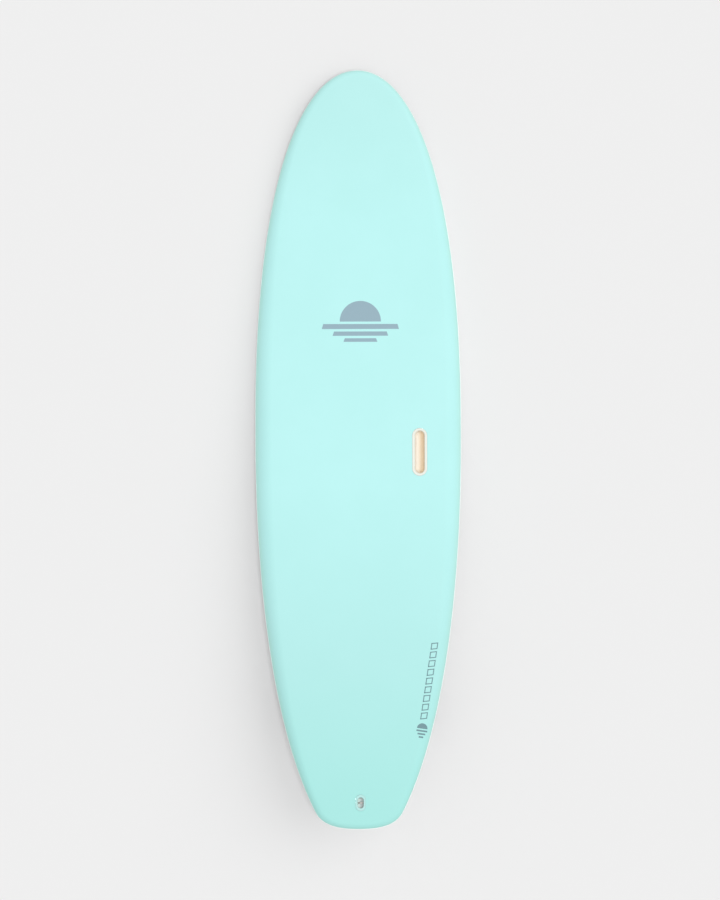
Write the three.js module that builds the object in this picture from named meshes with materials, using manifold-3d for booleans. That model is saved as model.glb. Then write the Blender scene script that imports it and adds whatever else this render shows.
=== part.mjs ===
// A soft-topped surfboard: foam core and stringers in laminates and skins, with its
// carry handle, leash plug and three fins that pull out of their boxes.
// Millimetres. X is across the board, Y toward the nose, Z up off the floor.
import * as THREE from "three";
import { mergeVertices } from "three/addons/utils/BufferGeometryUtils.js";
import Module from "manifold-3d";

const wasm = await Module();
wasm.setup();

// Plan outline: half-widths against distances from the nose.
const boardLength = 2134;
const boardWidth = 580;
const widePoint = 985;
const noseReach = 150;
const noseShoulder = 290;
const tailHip = 1080;
const tailDraw = [301, 1733];
const tailCorner = [124, 2085];
const cornerHandle = 46;
const endReach = 56;

// Side view: rocker and thickness.
const noseRocker = 105;
const tailRocker = 48;
const flatPoint = 1180;
const noseRockerPower = 2.6;
const tailRockerPower = 2.3;
const thickPoint = 1050;
const boardThickness = 79;
const noseThickness = 25;
const tailThickness = 30;
const noseFoilPower = 1.8;
const tailFoilPower = 1.9;

// Rail section, as shares of the local thickness.
const apexShare = 0.42;
const deckRailShare = 0.6;
const bottomRailShare = 0.42;
const crownShare = 0.08;

// Layers, as depths in from the outermost surface.
const gap = 0.3;
const lip = 0.6;
const deckFoam = 5.8;
const laminate = 1.2;
const bottomSheet = 1.6;
const stringerOffset = 100;
const stringerWidth = 4;

// Carry handle: a long moulded cup let into the deck beside the centre.
const handleAcross = 173;
const handleFromNose = 1072.2;
const handleFlange = [134, 42];
const handleMouth = [120, 27];
const handleFloor = [112, 21];
const handleWall = 3;
const handleDepth = 28;
const flangeProud = 0.6;
const flangeDepth = 5.5;

// Leash plug, and the steel pin across it.
const plugAcross = 4;
const plugFromTail = 75;
const plugFlange = [46, 28];
const plugMouth = [31, 17.5];
const plugFloor = [27, 14];
const plugWall = 3;
const plugDepth = 14;
const pinDiameter = 4.5;
const pinLength = 21;
const pinDrop = 5.5;

// Fins, their boxes and grub screws.
const finBase = 112;
const centreFinDepth = 115;
const finThickness = 8.5;
const finEdge = 1.2;
const flatFaceOffset = 3.2;
const sideFinAcross = 160;
const sideFinFromTail = 335;
const centreFinFromTail = 172;
const finToe = 3;
const finCant = 6;
const boxSize = [134, 28, 18];
const boxCorner = 8;
const tabSize = [6, 20, 13];
const tabOffset = 28;
const screwDiameter = 5;
const screwAngle = 25;
const screwAcross = 8.8;
const screwRecess = 1.5;
const screwEnd = 7.6;
const socketRadius = 1.45;
const socketDepth = 2.4;

// Spokes of the board's surface: fans round the two ends, square rows between them.
const noseFan = 160;
const tailFan = boardLength - 110;
const noseAngles = [0, 22, 42, 60, 76];
const tailAngles = [12, 21, 30, 39, 48, 58, 72, 90];
const rowStations = [
  noseFan, 230, 310, 400, 490, 580, 680, 790, 910, 1040, 1180, 1320,
  1450, 1570, 1680, 1780, 1870, 1950, tailFan,
];
const restStations = [490, 580];
const deckSteps = [[0, 0], [0.6, 0], [1, 0], [1, 30], [1, 52], [1, 72]];
const bottomSteps = [[1, 65], [1, 35], [1, 0], [0, 0]];
const apexRow = deckSteps.length;
const lastRow = apexRow + bottomSteps.length;

const radians = THREE.MathUtils.degToRad;
const alongBoard = (station) => boardLength / 2 - station;

// The right half of the outline, x the half-width and y the distance from the nose.
const cornerTangent = new THREE.Vector2(...tailCorner)
  .sub(new THREE.Vector2(...tailDraw))
  .setLength(cornerHandle);
const outline = [
  [[0, 0], [noseReach, 0], [boardWidth / 2, noseShoulder], [boardWidth / 2, widePoint]],
  [[boardWidth / 2, widePoint], [boardWidth / 2, tailHip], tailDraw, tailCorner],
  [
    tailCorner,
    [tailCorner[0] + cornerTangent.x, tailCorner[1] + cornerTangent.y],
    [endReach, boardLength],
    [0, boardLength],
  ],
].map((points) => new THREE.CubicBezierCurve(...points.map((p) => new THREE.Vector2(...p))));

// The outline's point where a measure that grows from nose to tail reaches a target.
function outlineWhere(measure, target) {
  let low = 0;
  let high = outline.length;
  const at = (t) => {
    const piece = Math.min(outline.length - 1, Math.floor(t));
    return outline[piece].getPoint(t - piece);
  };
  for (let step = 0; step < 50; step += 1) {
    const middle = (low + high) / 2;
    if (measure(at(middle)) < target) low = middle;
    else high = middle;
  }
  return at(high);
}

function rockerAt(station) {
  const ahead = Math.max(0, flatPoint - station) / flatPoint;
  const behind = Math.max(0, station - flatPoint) / (boardLength - flatPoint);
  return noseRocker * ahead ** noseRockerPower + tailRocker * behind ** tailRockerPower;
}

function thicknessAt(station) {
  const ahead = Math.max(0, thickPoint - station) / thickPoint;
  const behind = Math.max(0, station - thickPoint) / (boardLength - thickPoint);
  const thinner = (boardThickness - noseThickness) * ahead ** noseFoilPower
    + (boardThickness - tailThickness) * behind ** tailFoilPower;
  return boardThickness - thinner;
}

// Each spoke runs from a point on the centre line to one on the outline.
function makeSpokes() {
  const spokes = noseAngles.map((angle) => ({
    centre: noseFan,
    end: angle === 0
      ? new THREE.Vector2(0, 0)
      : outlineWhere((p) => Math.atan2(p.x, noseFan - p.y), radians(angle)),
  }));
  for (const station of rowStations)
    spokes.push({ centre: station, end: outlineWhere((p) => p.y, station) });
  for (const angle of tailAngles)
    spokes.push({
      centre: tailFan,
      end: angle === 90
        ? new THREE.Vector2(0, boardLength)
        : outlineWhere((p) => Math.atan2(p.y - tailFan, p.x), radians(angle)),
    });
  return spokes;
}

// A surface point on a spoke: share of the flat part, then angle round the rail.
function surfacePoint(spoke, share, angle, isDeck) {
  const length = Math.hypot(spoke.end.x, spoke.end.y - spoke.centre);
  const rail = thicknessAt(spoke.end.y) * (isDeck ? deckRailShare : bottomRailShare);
  const reach = share * (length - rail) + rail * Math.sin(radians(angle));
  const along = reach / length;
  const station = THREE.MathUtils.lerp(spoke.centre, spoke.end.y, along);
  const thickness = thicknessAt(station);
  const apex = rockerAt(station) + apexShare * thickness;
  const rise = isDeck
    ? (1 - apexShare - crownShare * along ** 2) * thickness
    : -apexShare * thickness;
  const height = angle === 90 ? apex : apex + rise * Math.cos(radians(angle));
  return new THREE.Vector3(spoke.end.x * along, alongBoard(station), height);
}

// The board's whole surface as welded points with normals, in loops of rows.
function makeSurface() {
  const right = makeSpokes();
  const left = right.slice(1, -1).reverse();
  const spokes = [...right, ...left.map((spoke) => ({
    centre: spoke.centre,
    end: new THREE.Vector2(-spoke.end.x, spoke.end.y),
  }))];
  const steps = [
    ...deckSteps.map((step) => [...step, true]),
    [1, 90, true],
    ...bottomSteps.map((step) => [...step, false]),
  ];
  const points = [];
  const known = new Map();
  const grid = steps.map((step) => spokes.map((spoke) => {
    const point = surfacePoint(spoke, ...step);
    const key = point.toArray().map((value) => value.toFixed(3)).join();
    if (!known.has(key)) known.set(key, points.push(point) - 1);
    return known.get(key);
  }));
  const geometry = new THREE.BufferGeometry().setFromPoints(points);
  geometry.setIndex(stitch(grid));
  geometry.computeVertexNormals();
  const normals = points.map((_, i) =>
    new THREE.Vector3().fromBufferAttribute(geometry.attributes.normal, i));
  return { grid, points, normals };
}

// Triangles between loops of vertex numbers, without the ones that have collapsed.
function stitch(loops) {
  const faces = [];
  const addFace = (a, b, c) => {
    if (a !== b && b !== c && c !== a) faces.push(a, b, c);
  };
  for (let row = 1; row < loops.length; row += 1) {
    const inner = loops[row - 1];
    const outer = loops[row];
    inner.forEach((a, i) => {
      const next = (i + 1) % inner.length;
      addFace(a, outer[next], outer[i]);
      addFace(a, inner[next], outer[next]);
    });
  }
  return faces;
}

const surface = makeSurface();

// A body of the board, from rows of [surface row, depth below it, extra height].
function layeredBody(rows) {
  const positions = [];
  const loops = rows.map(([row, depth, rise = 0]) => {
    const numbers = new Map();
    return surface.grid[row].map((id) => {
      if (!numbers.has(id)) {
        const point = surface.points[id].clone().addScaledVector(surface.normals[id], -depth);
        point.z += rise;
        numbers.set(id, positions.push(point) - 1);
      }
      return numbers.get(id);
    });
  });
  return new THREE.BufferGeometry().setFromPoints(positions).setIndex(stitch(loops));
}

const rowRange = (from, to) => {
  const step = Math.sign(to - from);
  return Array.from({ length: Math.abs(to - from) + 1 }, (_, i) => from + i * step);
};

// A sheet over the deck as far as the rail's widest line, or one under the bottom.
function deckSheet(outerDepth, thickness) {
  const rise = (row) => (row === apexRow ? gap : 0);
  return layeredBody([
    ...rowRange(0, apexRow).map((row) => [row, outerDepth, rise(row)]),
    ...rowRange(apexRow, 0).map((row) => [row, outerDepth + thickness, rise(row)]),
  ]);
}

function bottomLayer(outerDepth, thickness) {
  return layeredBody([
    ...rowRange(lastRow, apexRow).map((row) => [row, outerDepth + thickness]),
    ...rowRange(apexRow, lastRow).map((row) => [row, outerDepth]),
  ]);
}

const deckLaminateDepth = lip + deckFoam + gap;
const bottomLaminateDepth = bottomSheet + gap;
const coreDeckDepth = deckLaminateDepth + laminate + gap;
const coreBottomDepth = bottomLaminateDepth + laminate + gap;

function foamBlank() {
  return layeredBody([
    ...rowRange(0, apexRow).map((row) => [row, coreDeckDepth]),
    ...rowRange(apexRow, lastRow).map((row) => [row, coreBottomDepth]),
  ]);
}

// Solids: geometry in and out of the boolean library.
function toSolid(geometry) {
  const bare = geometry.clone();
  bare.deleteAttribute("normal");
  bare.deleteAttribute("uv");
  const merged = mergeVertices(bare, 1e-4);
  return new wasm.Manifold(new wasm.Mesh({
    numProp: 3,
    vertProperties: new Float32Array(merged.attributes.position.array),
    triVerts: new Uint32Array(merged.index.array),
  }));
}

function toGeometry(solid) {
  const mesh = solid.getMesh();
  const geometry = new THREE.BufferGeometry();
  geometry.setAttribute("position", new THREE.BufferAttribute(mesh.vertProperties, 3));
  geometry.setIndex(new THREE.BufferAttribute(mesh.triVerts, 1));
  return geometry;
}

function subtract(geometry, tools) {
  return toGeometry(tools.reduce((solid, tool) => solid.subtract(toSolid(tool)), toSolid(geometry)));
}

// A closed solid through rings of equal count, each anticlockwise seen from above.
function loft(rings) {
  const count = rings[0].length;
  const loops = rings.map((ring, k) => ring.map((_, i) => k * count + i));
  const faces = stitch(loops);
  const last = (rings.length - 1) * count;
  for (let i = 1; i < count - 1; i += 1) {
    faces.push(0, i + 1, i);
    faces.push(last, last + i, last + i + 1);
  }
  return new THREE.BufferGeometry().setFromPoints(rings.flat()).setIndex(faces);
}

// A rectangle with round corners, long side on Y; its ends are half circles by default.
function roundedRing([length, width], height, radius = width / 2, steps = 6) {
  const ring = [];
  [[1, 1, 0], [-1, 1, 90], [-1, -1, 180], [1, -1, 270]].forEach(([sideX, sideY, from]) => {
    for (let i = 0; i <= steps; i += 1) {
      const angle = radians(from + (90 * i) / steps);
      const point = new THREE.Vector3(
        sideX * (width / 2 - radius) + radius * Math.cos(angle),
        sideY * (length / 2 - radius) + radius * Math.sin(angle),
        height,
      );
      const previous = ring[ring.length - 1] ?? ring[0];
      if (!previous || previous.distanceTo(point) > 1e-6) ring.push(point);
    }
  });
  if (ring[0].distanceTo(ring[ring.length - 1]) < 1e-6) ring.pop();
  return ring;
}

const grow = ([length, width], by) => [length + 2 * by, width + 2 * by];

function prism(size, bottom, top, radius) {
  return loft([roundedRing(size, bottom, radius), roundedRing(size, top, radius)]);
}

// An open cup with a flange at its mouth; its zero height is the deck around it.
function flangedCup({ flange, mouth, floor, wall, depth }) {
  const body = grow(mouth, wall);
  return loft([
    roundedRing(grow(floor, wall), -depth - wall),
    roundedRing(body, -flangeDepth),
    roundedRing(flange, -flangeDepth),
    roundedRing(flange, 0),
    roundedRing(grow(flange, -flangeProud), flangeProud),
    roundedRing(grow(mouth, 1), flangeProud),
    roundedRing(mouth, -1),
    roundedRing(grow(floor, 2), 4 - depth),
    roundedRing(grow(floor, 0.5), 1 - depth),
    roundedRing(grow(floor, -1), -depth),
  ]);
}

const handleCup = {
  flange: handleFlange,
  mouth: handleMouth,
  floor: handleFloor,
  wall: handleWall,
  depth: handleDepth,
};
const plugCup = {
  flange: plugFlange,
  mouth: plugMouth,
  floor: plugFloor,
  wall: plugWall,
  depth: plugDepth,
};

function flangeTool(cup) {
  return prism(grow(cup.flange, gap), -flangeDepth * 2, flangeDepth * 2);
}

function cupTool(cup) {
  return prism(grow(cup.mouth, cup.wall + gap), -cup.depth - cup.wall - gap, flangeDepth);
}

// Where a fitting sits: a matrix from its own frame to the board's.
function placeAt(x, station, height, pitch, roll, toe) {
  const turn = new THREE.Euler(pitch, roll, toe);
  return new THREE.Matrix4()
    .makeRotationFromEuler(turn)
    .setPosition(x, alongBoard(station), height);
}

// A cup lies in the slope of the deck around it.
function placeOnDeck(x, station) {
  const halfWidth = outlineWhere((p) => p.y, station).x;
  const height = (across, s) => rockerAt(s)
    + (1 - crownShare * (across / halfWidth) ** 2) * thicknessAt(s) - lip;
  const slopeAlong = (height(x, station - 1) - height(x, station + 1)) / 2;
  const slopeAcross = (height(x + 1, station) - height(x - 1, station)) / 2;
  return placeAt(x, station, height(x, station), Math.atan(slopeAlong), -Math.atan(slopeAcross), 0);
}

// A fin box lies in the slope of the bottom, its open face at zero height.
function placeFinBox(x, fromTail) {
  const station = boardLength - fromTail;
  const half = boxSize[0] / 2;
  const ahead = rockerAt(station - half);
  const behind = rockerAt(station + half);
  const level = (ahead + behind + 2 * rockerAt(station)) / 4;
  const pitch = Math.atan((ahead - behind) / (2 * half));
  return placeAt(x, station, level, pitch, 0, radians(finToe) * Math.sign(x));
}

const handlePlace = placeOnDeck(handleAcross, handleFromNose);
const plugPlace = placeOnDeck(plugAcross, boardLength - plugFromTail);

// Fins: the leading and trailing edges against the share of the depth.
const leadingEdge = (share) => finBase / 2 - 58 * share - 66 * (1 - Math.sqrt(1 - share ** 4));
const trailingEdge = (share) => -finBase / 2 + 14 * Math.sin(Math.PI * share) - 18 * share ** 3;
const foilShape = (chordShare) => Math.sin(Math.PI * chordShare ** 0.6) ** 0.8;
const finShares = [1, 0.985, 0.95, 0.88, 0.76, 0.6, 0.42, 0.22, 0];
const chordShares = [0, 0.05, 0.16, 0.34, 0.62, 1];

// One fin section: side 0 is foiled on both faces, +1 or -1 only on the outboard one.
function finSection(share, height, side) {
  const lead = leadingEdge(share);
  const chord = lead - trailingEdge(share);
  const thick = (c) => finEdge + finThickness * (1 - 0.75 * share) * Math.max(0, foilShape(c));
  const outer = (c) => (side === 0 ? thick(c) / 2 : thick(c) - flatFaceOffset);
  const inner = (c) => (side === 0 ? -thick(c) / 2 : -flatFaceOffset);
  const ring = [
    ...chordShares.map((c) => new THREE.Vector3(inner(c), lead - c * chord, height)),
    ...[...chordShares].reverse()
      .map((c) => new THREE.Vector3(outer(c), lead - c * chord, height)),
  ];
  if (side < 0) {
    ring.forEach((point) => point.setX(-point.x));
    ring.reverse();
  }
  return ring;
}

// A fin in its own frame, trimmed along the slope of its box, with its two tabs.
function finShape(depth, side, cant) {
  const blade = loft([
    ...finShares.map((share) => finSection(share, -depth * share, side)),
    finSection(0, tabSize[2], side),
  ]);
  const trim = new THREE.BoxGeometry(100, 300, 60)
    .translate(0, 0, 30 - gap)
    .applyMatrix4(new THREE.Matrix4().makeRotationY(-cant));
  const tabs = [-tabOffset, tabOffset].map((y) => finTab(y, 0, -3));
  return toGeometry(tabs.reduce(
    (solid, tab) => solid.add(toSolid(tab)),
    toSolid(subtract(blade, [trim])),
  ));
}

function finTab(y, clearance, from) {
  const [width, length, depth] = tabSize;
  const height = depth + clearance - from;
  return new THREE.BoxGeometry(width + 2 * clearance, length + 2 * clearance, height)
    .translate(0, y, from + height / 2);
}

// Grub screws lean in against the tabs, from the side given.
function screwPlace(y, side) {
  return new THREE.Matrix4()
    .makeRotationY(radians(-screwAngle) * side)
    .setPosition(screwAcross * side, y, 0);
}

function upright(radius, bottom, top, segments) {
  return new THREE.CylinderGeometry(radius, radius, top - bottom, segments)
    .rotateX(Math.PI / 2)
    .translate(0, 0, (bottom + top) / 2);
}

function grubScrew() {
  const shank = upright(screwDiameter / 2, screwRecess, screwEnd, 16);
  const socket = upright(socketRadius, screwRecess - 1, screwRecess + socketDepth, 6);
  return subtract(shank, [socket]);
}

function finBox(cantTurn, screwSide) {
  const slots = [-tabOffset, tabOffset].map((y) => finTab(y, gap, -5));
  const holes = [-tabOffset, tabOffset].map((y) =>
    upright(screwDiameter / 2 + gap, -5, screwEnd + gap, 20)
      .applyMatrix4(screwPlace(y, screwSide)));
  const tools = [...slots, ...holes].map((tool) => tool.applyMatrix4(cantTurn));
  return subtract(prism(boxSize, 0, boxSize[2], boxCorner), tools);
}

function boxTool() {
  return prism(grow(boxSize, gap), -flangeDepth, boxSize[2] + gap, boxCorner + gap);
}

// At rest the board lies on one flat of its belly and the tips of the side fins.
const restSlope = (rockerAt(restStations[0]) - rockerAt(restStations[1]))
  / (restStations[1] - restStations[0]);

function tipClearance(depth) {
  const cantTurn = new THREE.Matrix4().makeRotationY(radians(-finCant));
  const points = finShares.flatMap((share) => finSection(share, -depth * share, 1));
  const heights = points.map((point) => {
    point.applyMatrix4(cantTurn).applyMatrix4(finSets.right.place);
    const ahead = point.y - alongBoard(restStations[1]);
    return point.z - rockerAt(restStations[1]) - restSlope * ahead;
  });
  return Math.min(...heights);
}

const finSets = {
  left: { side: -1, screwSide: 1, place: placeFinBox(-sideFinAcross, sideFinFromTail) },
  centre: { side: 0, screwSide: 1, place: placeFinBox(0, centreFinFromTail) },
  right: { side: 1, screwSide: -1, place: placeFinBox(sideFinAcross, sideFinFromTail) },
};
const trialDepth = 120;
const trialStep = 1;
const clearanceLost = tipClearance(trialDepth - trialStep) - tipClearance(trialDepth);
const sideFinDepth = trialDepth + (tipClearance(trialDepth) * trialStep) / clearanceLost;

// Materials and assembly.
const colours = {
  foam: [0xb9eeea, 0.75, 0],
  laminate: [0xe9e6da, 0.6, 0],
  slick: [0xf2f5f6, 0.3, 0],
  core: [0xf7f7f4, 0.9, 0],
  wood: [0xc79a63, 0.7, 0],
  cream: [0xeeeee2, 0.45, 0],
  steel: [0xa9a8a2, 0.3, 1],
  box: [0xe6e8e8, 0.5, 0],
  fin: [0x2f3438, 0.55, 0],
};

function addNode(parent, name, geometry, finish) {
  const [color, roughness, metalness] = colours[finish];
  const faceted = geometry.index ? geometry.toNonIndexed() : geometry;
  faceted.computeVertexNormals();
  const material = new THREE.MeshStandardMaterial({ color, roughness, metalness });
  const mesh = new THREE.Mesh(faceted, material);
  mesh.name = name;
  parent.add(mesh);
  return mesh;
}

const placed = (tool, place) => tool.applyMatrix4(place);

function addShell(board) {
  const boxTools = Object.values(finSets).map((set) => placed(boxTool(), set.place));
  const flangeTools = [
    placed(flangeTool(handleCup), handlePlace),
    placed(flangeTool(plugCup), plugPlace),
  ];
  const cupTools = [
    placed(cupTool(handleCup), handlePlace),
    placed(cupTool(plugCup), plugPlace),
  ];
  const deckSkin = subtract(deckSheet(lip, deckFoam), flangeTools);
  const deckLaminate = subtract(deckSheet(deckLaminateDepth, laminate), cupTools);
  const bottomLaminate = subtract(bottomLayer(bottomLaminateDepth, laminate), boxTools);
  const bottomSkin = subtract(bottomLayer(0, bottomSheet), boxTools);
  addNode(board, "deck_skin", deckSkin, "foam");
  addNode(board, "deck_laminate", deckLaminate, "laminate");
  addNode(board, "bottom_laminate", bottomLaminate, "laminate");
  addNode(board, "bottom_skin", bottomSkin, "slick");
  addCore(board, toSolid(subtract(foamBlank(), [...cupTools, ...boxTools])));
}

// The foam blank, split lengthways by the two stringers.
function addCore(board, blank) {
  const strip = (from, to) => toSolid(
    new THREE.BoxGeometry(to - from, boardLength * 2, 600).translate((from + to) / 2, 0, 0),
  );
  const inside = stringerOffset - stringerWidth / 2;
  const outside = stringerOffset + stringerWidth / 2;
  const edge = boardWidth;
  const pieces = {
    core_left: [-edge, -outside - gap, "core"],
    stringer_left: [-outside, -inside, "wood"],
    core_centre: [-inside + gap, inside - gap, "core"],
    stringer_right: [inside, outside, "wood"],
    core_right: [outside + gap, edge, "core"],
  };
  for (const [name, [from, to, finish]] of Object.entries(pieces))
    addNode(board, name, toGeometry(blank.intersect(strip(from, to))), finish);
}

function addFittings(board) {
  const handle = new THREE.Group();
  handle.applyMatrix4(handlePlace);
  addNode(handle, "handle_cup", flangedCup(handleCup), "cream");
  const plug = new THREE.Group();
  plug.applyMatrix4(plugPlace);
  const pinBar = (radius, length) =>
    new THREE.CylinderGeometry(radius, radius, length, 16)
      .rotateZ(Math.PI / 2)
      .translate(0, 0, -pinDrop);
  const seat = pinBar(pinDiameter / 2 + gap, pinLength + 2 * gap);
  addNode(plug, "leash_plug_cup", subtract(flangedCup(plugCup), [seat]), "cream");
  addNode(plug, "leash_pin", pinBar(pinDiameter / 2, pinLength), "steel");
  board.add(handle, plug);
}

function addFinSet(board, name, { side, screwSide, place }) {
  const cant = radians(-finCant) * side;
  const boxGroup = new THREE.Group();
  boxGroup.applyMatrix4(place);
  const cantTurn = new THREE.Matrix4().makeRotationY(cant);
  addNode(boxGroup, `fin_box_${name}`, finBox(cantTurn, screwSide), "box");
  const finGroup = new THREE.Group();
  finGroup.rotation.y = cant;
  const depth = side === 0 ? centreFinDepth : sideFinDepth;
  addNode(finGroup, `fin_${name}`, finShape(depth, side, cant), "fin");
  for (const [end, y] of [["front", tabOffset], ["rear", -tabOffset]]) {
    const screw = addNode(finGroup, `screw_${name}_${end}`, grubScrew(), "steel");
    screw.applyMatrix4(screwPlace(y, screwSide));
  }
  boxGroup.add(finGroup);
  board.add(boxGroup);
}

const board = new THREE.Group();
addShell(board);
addFittings(board);
for (const [name, set] of Object.entries(finSets)) addFinSet(board, name, set);
board.rotation.x = -Math.atan(restSlope);

const group = new THREE.Group();
group.add(board);
group.updateMatrixWorld(true);
const bounds = new THREE.Box3().setFromObject(board, true);
const middle = bounds.getCenter(new THREE.Vector3());
board.position.set(-middle.x, -middle.y, -bounds.min.z);

export default group;
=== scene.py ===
import math

import bmesh
import bpy
from mathutils import Matrix, Vector


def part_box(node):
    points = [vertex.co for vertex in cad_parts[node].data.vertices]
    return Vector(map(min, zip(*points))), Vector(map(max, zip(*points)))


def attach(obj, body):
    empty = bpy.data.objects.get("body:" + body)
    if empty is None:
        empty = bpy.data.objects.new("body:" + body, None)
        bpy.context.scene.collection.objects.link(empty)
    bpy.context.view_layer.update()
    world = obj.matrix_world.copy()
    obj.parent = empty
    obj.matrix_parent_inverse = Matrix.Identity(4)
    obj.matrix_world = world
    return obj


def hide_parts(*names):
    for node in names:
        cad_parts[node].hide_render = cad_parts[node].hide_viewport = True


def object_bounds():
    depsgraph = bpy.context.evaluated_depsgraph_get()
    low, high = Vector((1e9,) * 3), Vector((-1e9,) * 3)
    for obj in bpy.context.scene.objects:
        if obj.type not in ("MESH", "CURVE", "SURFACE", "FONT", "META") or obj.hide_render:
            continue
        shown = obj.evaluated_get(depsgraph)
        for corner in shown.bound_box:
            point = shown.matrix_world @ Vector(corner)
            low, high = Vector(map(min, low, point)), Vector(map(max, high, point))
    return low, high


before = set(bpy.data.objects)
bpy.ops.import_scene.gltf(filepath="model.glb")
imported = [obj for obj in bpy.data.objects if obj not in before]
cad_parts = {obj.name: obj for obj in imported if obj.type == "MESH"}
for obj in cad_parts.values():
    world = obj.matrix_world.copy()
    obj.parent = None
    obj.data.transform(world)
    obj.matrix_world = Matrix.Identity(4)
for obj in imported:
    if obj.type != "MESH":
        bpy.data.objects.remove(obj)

cadLow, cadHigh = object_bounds()
boardBody = "board"


class Wire:  # one socket of a finish, with sums written as sums
    def __init__(self, finish, socket):
        self.finish = finish
        self.socket = socket

    def sum(self, operation, first, second):
        return self.finish.node("ShaderNodeMath", {"operation": operation}, {0: first, 1: second})

    def __add__(self, other):
        return self.sum("ADD", self, other)

    def __radd__(self, other):
        return self.sum("ADD", other, self)

    def __sub__(self, other):
        return self.sum("SUBTRACT", self, other)

    def __rsub__(self, other):
        return self.sum("SUBTRACT", other, self)

    def __mul__(self, other):
        return self.sum("MULTIPLY", self, other)

    def __rmul__(self, other):
        return self.sum("MULTIPLY", other, self)

    def __truediv__(self, other):
        return self.sum("DIVIDE", self, other)

    def __rtruediv__(self, other):
        return self.sum("DIVIDE", other, self)


class Finish:  # a material and the nodes behind it
    def __init__(self, name, **constants):
        self.material = bpy.data.materials.new(name)
        self.material.use_nodes = True
        self.tree = self.material.node_tree
        self.shader = self.tree.nodes["Principled BSDF"]
        self.feed(**constants)
        self.place = self.node("ShaderNodeTexCoord", out="Object")  # metres

    def node(self, kind, settings=None, inputs=None, out=0):
        made = self.tree.nodes.new(kind)
        for key, value in (settings or {}).items():
            if key == "stops":
                self.setStops(made.color_ramp, value)
            else:
                setattr(made, key, value)
        for key, value in (inputs or {}).items():
            self.join(made.inputs[key], value)
        return Wire(self, made.outputs[out])

    def setStops(self, ramp, stops):
        while len(ramp.elements) < len(stops):
            ramp.elements.new(1.0)
        for element, (position, colour) in zip(ramp.elements, stops):
            element.position = position
            element.color = (*colour, 1.0)

    def join(self, socket, value):
        if isinstance(value, Wire):
            self.tree.links.new(value.socket, socket)
        elif isinstance(value, tuple) and len(value) == 3 and socket.type == "RGBA":
            socket.default_value = (*value, 1.0)
        else:
            socket.default_value = value

    def feed(self, **inputs):  # names as the shader has them, without their spaces
        for socket in self.shader.inputs:
            key = socket.name.replace(" ", "")
            key = key[:1].lower() + key[1:]
            if key in inputs:
                self.join(socket, inputs[key])

    def noise(self, scale, detail=3.0, roughness=0.5, place=None):  # scale counts features in a metre
        return self.node("ShaderNodeTexNoise", None, {
            "Vector": place or self.place, "Scale": scale, "Detail": detail, "Roughness": roughness})

    def cells(self, scale, feature="F1"):
        return self.node("ShaderNodeTexVoronoi", {"feature": feature}, {
            "Vector": self.place, "Scale": scale}, out="Distance")

    def stretched(self, x, y, z):  # the same place, with each axis scaled
        return self.node("ShaderNodeVectorMath", {"operation": "MULTIPLY"}, {0: self.place, 1: (x, y, z)})

    def mix(self, factor, first, second, blend="MIX"):
        return self.node("ShaderNodeMix", {"data_type": "RGBA", "blend_type": blend}, {
            0: factor, 6: first, 7: second}, out=2)

    def between(self, value, low, high):  # 0 below low, 1 above high, smooth between
        return self.node("ShaderNodeMapRange", {"interpolation_type": "SMOOTHSTEP"}, {
            "Value": value, "From Min": low, "From Max": high, "To Min": 0.0, "To Max": 1.0})

    def bump(self, height, depth, strength=1.0):  # depth in metres for a height from 0 to 1
        return self.node("ShaderNodeBump", None, {
            "Height": height, "Distance": depth, "Strength": strength})


def shade(value):  # an sRGB colour, 0 to 255, as the linear one nodes take
    def linear(part):
        part /= 255
        return part / 12.92 if part <= 0.04045 else ((part + 0.055) / 1.055) ** 2.4
    return tuple(linear(part) for part in value)


def deckFoamFinish():  # painted light and shade: the deck is painted lighter through the middle and darker toward the nose, most toward the tail, as the light falls along it
    look = {"tail": (160, 225, 219), "rear": (172, 229, 226), "middle": (181, 238, 236),
            "nose": (179, 233, 230), "railTint": (1.0, 1.0, 0.93),
            "worn": (160, 222, 216), "pore": (150, 214, 209), "bloom": (214, 250, 247),
            "cell": 1500, "pebble": 560, "mottle": 7, "relief": 0.00014}
    finish = Finish("deckFoam", roughness=0.62, sheenWeight=0.12, sheenRoughness=0.5)
    along = finish.node("ShaderNodeSeparateXYZ", None, {0: finish.place}, out="Y")
    share = (along - cadLow[1]) / (cadHigh[1] - cadLow[1])
    # painted light and shade along the board: the middle stops are the painted lit part, the nose and tail
    # stops the painted shaded part
    tone = finish.node("ShaderNodeValToRGB", {"stops": [
        (0.03, shade(look["tail"])), (0.22, shade(look["rear"])), (0.45, shade(look["middle"])),
        (0.80, shade(look["middle"])), (1.0, shade(look["nose"]))]}, {0: share})
    mottle = finish.between(finish.noise(look["mottle"], 3.0), 0.3, 0.7)
    grain = finish.noise(look["cell"], 2.0)
    pores = finish.between(finish.cells(look["cell"] * 0.55), 0.05, 0.35)
    pebbles = finish.between(finish.cells(look["pebble"]), 0.1, 0.6)  # the sheet's embossed skin
    tone = finish.mix(mottle * 0.1, tone, shade(look["worn"]))
    facing = finish.node("ShaderNodeNewGeometry", out="Normal")
    upward = finish.node("ShaderNodeSeparateXYZ", None, {0: facing}, out="Z")
    # painted shade: the steep sides of the rails are painted a little less blue, standing in for how the
    # light falls on them
    tone = finish.mix(1 - finish.between(upward, 0.3, 0.9), tone, look["railTint"], "MULTIPLY")
    tone = finish.mix((1 - pores) * 0.25, tone, shade(look["pore"]))
    finish.feed(
        baseColor=finish.mix(grain * 0.12, tone, shade(look["bloom"])),
        roughness=0.56 + grain * 0.14,
        normal=finish.bump(grain * 0.25 + pores * 0.25 - pebbles * 0.5, look["relief"], 0.8))
    return finish.material


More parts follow.
